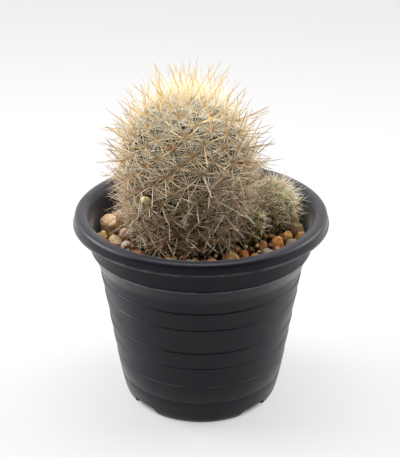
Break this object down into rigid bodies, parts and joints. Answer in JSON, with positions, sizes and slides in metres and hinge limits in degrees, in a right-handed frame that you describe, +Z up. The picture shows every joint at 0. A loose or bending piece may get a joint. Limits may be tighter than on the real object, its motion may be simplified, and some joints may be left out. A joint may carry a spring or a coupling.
{
  "type": "potted round cactus",
  "caption": "Round, densely spined cactus with side offsets, growing in a tapered round nursery pot of soil top-dressed with gravel.",
  "frame": {"origin": "centre of the pot's foot ring, on the surface that the pot stands on", "axes": "+Z up along the pot's axis, -Y towards the plant's front, +X towards its offsets"},
  "size_m": [0.102, 0.102, 0.1443],
  "materials": {
    "pot": "satin black injection-moulded plastic",
    "soil": "damp dark cactus soil",
    "stem": "waxy grey-green cactus skin",
    "offset": "waxy yellow-green cactus skin",
    "spines_gold": "satin golden-yellow spines",
    "spines_tan": "satin tan spines with brown tips",
    "spines_pale": "satin cream spines",
    "feed": "pale yellow resin-coated grain",
    "stone_tan": "worn tan gravel",
    "stone_gold": "worn golden-brown gravel",
    "stone_rust": "worn rust-orange gravel",
    "stone_grey": "worn grey gravel",
    "stone_brown": "worn brown gravel"
  },
  "bodies": {
    "root": {"crown_spines_1": "spines_gold", "crown_spines_2": "spines_gold", "crown_spines_3": "spines_gold", "crown_spines_4": "spines_gold", "crown_spines_5": "spines_gold", "crown_spines_6": "spines_gold", "feed_grain": "feed", "grain_spines": "spines_tan", "large_offset": "offset", "large_offset_spines": "spines_pale", "main_stem": "stem", "pot": "pot", "potting_soil": "soil", "side_spines_01": "spines_tan", "side_spines_02": "spines_tan", "side_spines_03": "spines_tan", "side_spines_04": "spines_tan", "side_spines_05": "spines_tan", "side_spines_06": "spines_tan", "side_spines_07": "spines_tan", "side_spines_08": "spines_tan", "side_spines_09": "spines_tan", "side_spines_10": "spines_tan", "side_spines_11": "spines_tan", "side_spines_12": "spines_tan", "side_spines_13": "spines_tan", "side_spines_14": "spines_tan", "small_offset": "offset", "small_offset_spines": "spines_pale", "stone_back_gold": "stone_gold", "stone_back_left": "stone_brown", "stone_back_mid": "stone_gold", "stone_back_pale": "stone_tan", "stone_back_right": "stone_grey", "stone_front_cream": "stone_tan", "stone_front_gold": "stone_gold", "stone_front_green": "stone_grey", "stone_front_grey": "stone_grey", "stone_front_pink": "stone_brown", "stone_front_tan": "stone_tan", "stone_left_back": "stone_tan", "stone_left_brown": "stone_brown", "stone_left_chip": "stone_tan", "stone_left_cream": "stone_tan", "stone_left_front": "stone_rust", "stone_left_large": "stone_tan", "stone_left_rim": "stone_gold", "stone_right_back": "stone_brown", "stone_right_gold": "stone_gold", "stone_right_grey": "stone_grey", "stone_right_orange": "stone_rust", "stone_right_rust": "stone_rust", "stone_right_slab": "stone_tan", "stone_rim_front_left": "stone_tan", "stone_rim_front_right": "stone_brown", "stone_rim_gold": "stone_gold", "stone_rim_peach": "stone_tan", "stone_rim_tan": "stone_grey"}
  },
  "joints": []
}
